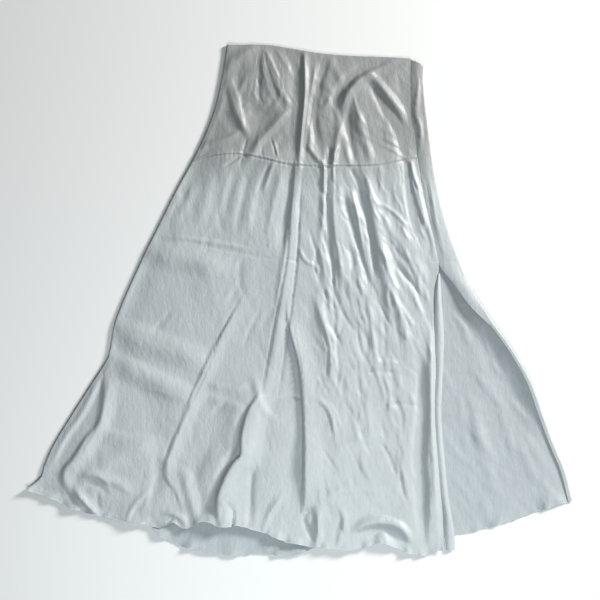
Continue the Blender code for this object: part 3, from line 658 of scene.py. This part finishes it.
def sheetObject(name, points, materials):
    # one sheet from a grid of points in millimetres, its second material on the inner face
    rows, columns = points.shape[:2]
    number = np.arange(rows * columns).reshape(rows, columns)
    corner = np.stack([number[:-1, :-1], number[1:, :-1], number[1:, 1:], number[:-1, 1:]], axis=-1)
    mesh = bpy.data.meshes.new(name)
    mesh.from_pydata((points.reshape(-1, 3) * mm).tolist(), [], corner.reshape(-1, 4).tolist())
    for material in materials:
        mesh.materials.append(material)
    mesh.shade_smooth()
    # the cut edges stay crisp
    ends = np.array([edge.vertices[:] for edge in mesh.edges])
    row, column = ends // columns, ends % columns
    borders = (row == 0, row == rows - 1, column == 0, column == columns - 1)
    onRim = np.any([border.all(1) for border in borders], axis=0)
    mesh.attributes.new("sharp_edge", "BOOLEAN", "EDGE").data.foreach_set("value", onRim)
    piece = bpy.data.objects.new(name, mesh)
    bpy.context.scene.collection.objects.link(piece)
    shell = piece.modifiers.new("thickness", "SOLIDIFY")
    shell.thickness = cloth["thickness"] * mm
    shell.offset = -1
    shell.material_offset = len(materials) - 1
    return piece


def tubeObject(name, line, radii, sides, material):
    # a round cord along a line of points in millimetres
    step = np.gradient(line, axis=0)
    step /= np.linalg.norm(step, axis=1)[:, None]
    level = np.cross(step, (0, 0, 1.0))
    level /= np.linalg.norm(level, axis=1)[:, None]
    rise = np.cross(level, step)
    turn = np.linspace(0, 2 * np.pi, sides, endpoint=False)
    ring = np.cos(turn)[None, :, None] * level[:, None] + np.sin(turn)[None, :, None] * rise[:, None]
    points = (line[:, None] + radii[:, None, None] * ring).reshape(-1, 3)
    number = np.arange(len(points)).reshape(len(line), sides)
    after = np.roll(number, -1, axis=1)
    quads = np.stack([number[:-1], after[:-1], after[1:], number[1:]], axis=-1).reshape(-1, 4).tolist()
    caps = [number[0, ::-1].tolist(), number[-1].tolist()]
    mesh = bpy.data.meshes.new(name)
    mesh.from_pydata((points * mm).tolist(), [], quads + caps)
    mesh.materials.append(material)
    mesh.shade_smooth()
    piece = bpy.data.objects.new(name, mesh)
    bpy.context.scene.collection.objects.link(piece)
    return piece


def linear(hexColour):
    # sRGB hex to the linear colour that the shader takes
    values = [int(hexColour[k:k + 2], 16) / 255 for k in (1, 3, 5)]
    return (*[v / 12.92 if v <= 0.04045 else ((v + 0.055) / 1.055) ** 2.4 for v in values], 1)


def addNode(material, kind, settings=None, values=None, links=None):
    # adds one node, with its settings, socket values and incoming links
    tree = material.node_tree
    made = tree.nodes.new(kind)
    for name, value in (settings or {}).items():
        setattr(made, name, value)
    for name, value in (values or {}).items():
        made.inputs[name].default_value = value
    for name, source in (links or {}).items():
        tree.links.new(source, made.inputs[name])
    return made


satin = {
    "panel": ("#b3babb", "#bfc6c8"),  # pale silver grey
    "yoke": "#989b9a",  # painted shade: darker and less blue towards the waist, where the light falls off
    "paintedShadeFrom": (165, 300),  # where along y the colour passes from the panel's to the painted shade of the yoke
    "reverse": ("#aab1b4", "#b5bdc0"),
    "thread": "#c3cbcd",
    "slub": (3.6, 0.42),  # mm across and height in mm of the fine unevenness of the threads
    "crinkle": (8.0, 1.0),  # and of the soft rumpling between the creases
    "grain": (1.9, 0.18),  # and of the weave itself
    "turn": 0.35,  # how far the threads lean from the skirt's length
}


def satinMaterial(name, colours, roughness, gloss, crinkleShare):
    # polyester satin, woven with long floats: smooth, with soft-edged highlights on its face
    material = bpy.data.materials.new(name)
    material.use_nodes = True
    shader = material.node_tree.nodes["Principled BSDF"]
    shader.inputs["IOR"].default_value = 1.54
    shader.inputs["Sheen Weight"].default_value = 0.08
    shader.inputs["Sheen Roughness"].default_value = 0.4
    shader.inputs["Coat Weight"].default_value = gloss
    shader.inputs["Coat Roughness"].default_value = 0.38
    links = material.node_tree.links
    where = addNode(material, "ShaderNodeTexCoord").outputs["Object"]
    along = addNode(
        material, "ShaderNodeMapping",
        values={"Rotation": (0, 0, -satin["turn"]), "Scale": (1, 0.5, 1)},
        links={"Vector": where},
    ).outputs["Vector"]
    across = addNode(
        material, "ShaderNodeMapping",
        values={"Rotation": (0, 0, -satin["turn"] - 1.1), "Scale": (1, 0.5, 1)},
        links={"Vector": where},
    ).outputs["Vector"]
    cloudy = addNode(
        material, "ShaderNodeTexNoise",
        values={"Scale": 1 / (40 * mm), "Detail": 3, "Roughness": 0.6},
        links={"Vector": where},
    )
    blend = addNode(material, "ShaderNodeMix", {"data_type": "RGBA"})
    blend.inputs[6].default_value = linear(colours[0])
    blend.inputs[7].default_value = linear(colours[1])
    links.new(cloudy.outputs["Fac"], blend.inputs[0])
    # painted shade: the colour is mixed towards the darker yoke colour by height along y, in place of the
    # light falling off towards the waist; the face and the reverse both get it
    upward = addNode(material, "ShaderNodeSeparateXYZ", links={"Vector": where})
    low, high = satin["paintedShadeFrom"]
    share = addNode(
        material, "ShaderNodeMapRange",
        {"interpolation_type": "SMOOTHSTEP"},
        values={"From Min": low * mm, "From Max": high * mm},
        links={"Value": upward.outputs["Y"]},
    )
    paintedShadeMix = addNode(material, "ShaderNodeMix", {"data_type": "RGBA"})
    links.new(share.outputs["Result"], paintedShadeMix.inputs[0])
    links.new(blend.outputs[2], paintedShadeMix.inputs[6])
    paintedShadeMix.inputs[7].default_value = linear(satin["yoke"])
    links.new(paintedShadeMix.outputs[2], shader.inputs["Base Color"])
    slubSize, slubTall = satin["slub"]
    slub = addNode(
        material, "ShaderNodeTexNoise",
        values={"Scale": 1 / (slubSize * mm), "Detail": 4, "Roughness": 0.65},
        links={"Vector": along},
    )
    shine = addNode(
        material, "ShaderNodeMapRange",
        values={
            "From Min": 0.25, "From Max": 0.75,
            "To Min": roughness - 0.05, "To Max": roughness + 0.07,
        },
        links={"Value": slub.outputs["Fac"]},
    )
    links.new(shine.outputs["Result"], shader.inputs["Roughness"])
    crinkleSize, crinkleTall = satin["crinkle"]
    soft = addNode(
        material, "ShaderNodeTexNoise",
        values={"Scale": 1 / (crinkleSize * mm), "Detail": 3, "Roughness": 0.5},
        links={"Vector": across},
    )
    grainSize, grainTall = satin["grain"]
    grain = addNode(
        material, "ShaderNodeTexNoise",
        values={"Scale": 1 / (grainSize * mm), "Detail": 2, "Roughness": 0.5},
        links={"Vector": along},
    )
    low = addNode(
        material, "ShaderNodeBump",
        values={"Strength": 1.0, "Distance": crinkleTall * crinkleShare * mm},
        links={"Height": soft.outputs["Fac"]},
    )
    middle = addNode(
        material, "ShaderNodeBump",
        values={"Strength": 1.0, "Distance": slubTall * mm},
        links={"Height": slub.outputs["Fac"], "Normal": low.outputs["Normal"]},
    )
    top = addNode(
        material, "ShaderNodeBump",
        values={"Strength": 1.0, "Distance": grainTall * mm},
        links={"Height": grain.outputs["Fac"], "Normal": middle.outputs["Normal"]},
    )
    links.new(top.outputs["Normal"], shader.inputs["Normal"])
    return material


def threadMaterial(name):
    # polyester sewing thread: twisted, so it is duller than the satin
    material = bpy.data.materials.new(name)
    material.use_nodes = True
    shader = material.node_tree.nodes["Principled BSDF"]
    shader.inputs["Base Color"].default_value = linear(satin["thread"])
    shader.inputs["Roughness"].default_value = 0.6
    where = addNode(material, "ShaderNodeTexCoord")
    grain = addNode(
        material, "ShaderNodeTexNoise",
        values={"Scale": 1 / (1.2 * mm), "Detail": 2},
        links={"Vector": where.outputs["Object"]},
    )
    rough = addNode(
        material, "ShaderNodeBump",
        values={"Strength": 0.6, "Distance": 0.2 * mm},
        links={"Height": grain.outputs["Fac"]},
    )
    material.node_tree.links.new(rough.outputs["Normal"], shader.inputs["Normal"])
    return material


face = satinMaterial("polyesterSatinFace", satin["panel"], 0.5, 0.3, 1.0)
reverse = satinMaterial("polyesterSatinReverse", satin["reverse"], 0.56, 0.05, 0.9)
thread = threadMaterial("polyesterSewingThread")
print("materials made")

frontPiece = {
    "columns": 210, "yokeRows": 74, "panelRows": 216, "crowd": 1.22,
    "edgeRadius": 0.8, "leftRadius": 1.7, "hemTurn": 12,
}
yokePlan = patch(
    outline["waist"], moved(outline["yokeSeam"], dy=-1.6),
    outline["yokeLeft"], moved(outline["yokeSideSeam"], -0.3),
    frontPiece["yokeRows"], frontPiece["columns"], -frontPiece["crowd"],
)
yokePoints = frontSurface(yokePlan, True, False)
yokePoints = turnedUnder(yokePoints, "left", frontPiece["leftRadius"], 1)
yokePoints = turnedUnder(yokePoints, "top", frontPiece["edgeRadius"], frontPiece["hemTurn"])
frontYoke = sheetObject("frontYokeSatin", yokePoints, (face, reverse))
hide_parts("front_yoke")
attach(frontYoke, "root")
print("front yoke made")

rightEdge = moved((*outline["panelSideSeam"], *outline["slitFrontEdge"][1:]), -0.3)
panelPlan = patch(
    outline["yokeSeam"], outline["frontHem"], outline["panelLeft"], rightEdge,
    frontPiece["panelRows"], frontPiece["columns"], frontPiece["crowd"],
)
panelPoints = frontSurface(panelPlan, False, True)
frontHemLine = panelPoints[-1].copy()
panelPoints = turnedUnder(panelPoints, "left", frontPiece["leftRadius"], 1)
panelPoints = turnedUnder(panelPoints, "right", frontPiece["edgeRadius"], 9)
frontPanel = sheetObject("frontPanelSatin", panelPoints, (face, reverse))
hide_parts("front_panel")
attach(frontPanel, "root")
print("front panel made")

facing = {"columns": 10, "rows": 200, "crown": 2.5, "gap": 0.3, "highGap": 3.2, "lowGap": 3.8}
outer = curve(outline["facingOuterEdge"], facing["rows"] + 1)
drawnEdge = edgeX(rightEdge, outer[:, 1])
partAway = facing["gap"] + facing["highGap"] * np.exp(-(((outer[:, 1] + 8) / 38) ** 2))
partAway = partAway + facing["lowGap"] * smooth((-330 - outer[:, 1]) / 60)
inner = np.column_stack([drawnEdge + partAway, outer[:, 1]])
share = np.linspace(0, 1, facing["columns"] + 1)
facingPlan = inner[:, None] + share[None, :, None] * (outer - inner)[:, None]
facingWide = np.linalg.norm(outer - inner, axis=1)[:, None]
facingTall = facing["crown"] * np.sin(np.pi * share)[None] * np.clip(facingWide / 8, 0.3, 1)
facingTall = facingTall + 0.4 * softNoise(facingPlan, 14, 41, 0, 2.5) + frontLow + 0.5
facingPoints = turnedUnder(np.concatenate([facingPlan, facingTall[..., None]], axis=-1), "right", 0.7, 3)
slitFacing = sheetObject("slitFacingSatin", facingPoints, (face, reverse))
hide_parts("slit_facing")
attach(slitFacing, "root")
print("slit facing made")

backPiece = {"columns": 150, "yokeRows": 60, "panelRows": 190}
stripFolds = fromPhoto(stripCreases)
slitWrinkles = (
    *scatteredCreases(110, 29, 250, 470, -400, 20, -0.6, 0.15, 56, 1.3, 4, 0.3),
    *scatteredCreases(34, 37, 250, 470, -400, 0, -0.52, 0.08, 120, 1.7, 8, 0.3),
)
hollowFolds = (*backFolds, *fromPhoto(backCreases), *slitWrinkles)

yokeTop = (*moved(outline["waist"], dy=-2)[:-1], *outline["waistRolled"])
fullSeam = (*outline["yokeSeam"], *outline["seamRolled"][1:])
backYokePlan = patch(
    yokeTop, fullSeam, outline["yokeLeft"], outline["yokeRight"],
    backPiece["yokeRows"], backPiece["columns"],
)
yokeEdge = curve(moved(outline["yokeSideSeam"], -2), backPiece["yokeRows"] + 1)
lyingFlat = np.zeros(backYokePlan.shape[:2])
backYokePoints = rolledSurface(backYokePlan, lyingFlat, yokeEdge, cloth["tuck"], stripFolds)
backYoke = sheetObject("backYokeSatin", backYokePoints, (face, reverse))
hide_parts("back_yoke")
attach(backYoke, "root")

backPlan = patch(
    fullSeam, outline["backHem"], outline["panelLeft"], outline["panelRight"],
    backPiece["panelRows"], backPiece["columns"],
)
backLift, backShift = drape(backPlan, hollowFolds)
slitX = edgeX(rightEdge, backPlan[..., 1].ravel()).reshape(backPlan.shape[:2])
hem = np.array(outline["frontHem"])
hemY = np.interp(backPlan[..., 0], hem[:, 0], hem[:, 1])
hollow = np.maximum(smooth((backPlan[..., 0] - slitX + 4) / 14), smooth((hemY + 4 - backPlan[..., 1]) / 10))
held = smooth(np.linalg.norm(backPlan - backPlan[:, -1:], axis=-1) / 25)
backLift = backLift + 0.5 * unevenness(backPlan)
backLift = backLift + hemRipple(backPlan, 30, 5.0, 22, 61) + hemRipple(backPlan, 12, 3.4, 9, 62)
backLift = np.maximum(backLift, 0) * held * hollow + drape(backPlan, slitCurl)[0]
y = backPlan[:, -1, 1]
backPlan = backPlan + hemWobble(backPlan, 83) * held[..., None]
hemX = backPlan[:, -1, 0] - cloth["slitHem"]
closed = y > outline["slitBackEdge"][0][1]
seamX = edgeX((*outline["panelSideSeam"], *outline["slitBackEdge"][1:]), y) + np.where(closed, -2, 0.3)
stripX = np.where(y > outline["slitBackEdge"][-1][1], np.minimum(seamX, hemX), hemX)
tuck = np.where(closed, cloth["tuck"], -0.6)
backPoints = rolledSurface(backPlan, backLift, np.column_stack([stripX, y]), tuck, stripFolds)
backHemLine = backPoints[-1].copy()
backPanel = sheetObject("backPanelSatin", backPoints, (face, reverse))
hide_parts("back_panel")
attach(backPanel, "root")
print("back made")

hemEdge = {"radius": 0.75, "wrapPitch": 2.4, "wrapDepth": 0.18, "step": 0.6}


def overlockedHem(name, line):
    # the narrow rolled hem, wound with thread
    length = np.linalg.norm(np.diff(line, axis=0), axis=1).sum()
    fine = curve(line, int(length / hemEdge["step"]))
    along = np.arange(len(fine)) * hemEdge["step"]
    radii = hemEdge["radius"] + hemEdge["wrapDepth"] * np.sin(2 * np.pi * along / hemEdge["wrapPitch"])
    fine[:, 2] = np.maximum(fine[:, 2] - cloth["thickness"] / 2, hemEdge["radius"] + 0.25)
    piece = tubeObject(name, fine, radii, 6, thread)
    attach(piece, "root")
    return piece


frontHem = overlockedHem("frontHemThread", frontHemLine)
backHem = overlockedHem("backHemThread", backHemLine[::-1][:-18])
print("hems made")

room = {"floor": "#f2f3f2", "cameraHeight": 1.9, "floorSize": 6}
bpy.ops.mesh.primitive_plane_add(size=room["floorSize"], location=(0, 0, -0.0006))
floor = bpy.context.object
floor.name = "floor"
floorMaterial = bpy.data.materials.new("matPaper")
floorMaterial.use_nodes = True
floorShader = floorMaterial.node_tree.nodes["Principled BSDF"]
floorShader.inputs["Base Color"].default_value = linear(room["floor"])
floorShader.inputs["Roughness"].default_value = 0.9
floor.data.materials.append(floorMaterial)

photoWidth = photo["pixels"] * photo["mmPerPixel"] * mm
camera = bpy.data.objects.new("camera", bpy.data.cameras.new("camera"))
bpy.context.scene.collection.objects.link(camera)
camera.location = (0, 0, room["cameraHeight"])
camera.data.sensor_width = 36
camera.data.lens = 36 * room["cameraHeight"] / photoWidth
bpy.context.scene.camera = camera


def areaLight(name, place, target, size, power, colour):
    lamp = bpy.data.objects.new(name, bpy.data.lights.new(name, "AREA"))
    bpy.context.scene.collection.objects.link(lamp)
    lamp.location = place
    lamp.rotation_euler = (Vector(target) - Vector(place)).to_track_quat("-Z", "Y").to_euler()
    lamp.data.shape = "DISK"
    lamp.data.size = size
    lamp.data.energy = power
    lamp.data.color = colour


areaLight("windowLight", (2.5, 1.5, 1.35), (0, 0, 0), 0.8, 136, (1.0, 0.985, 0.965))
areaLight("roomLight", (0.1, -0.85, 1.2), (-0.05, -0.2, 0), 0.8, 11, (0.88, 0.96, 1.0))
bpy.context.scene.view_settings.view_transform = "Standard"
world = bpy.context.scene.world or bpy.data.worlds.new("room")
bpy.context.scene.world = world
world.use_nodes = True
world.node_tree.nodes["Background"].inputs["Color"].default_value = (0.97, 0.99, 1.0, 1)
world.node_tree.nodes["Background"].inputs["Strength"].default_value = 0.13
print("floor, camera and lights made")
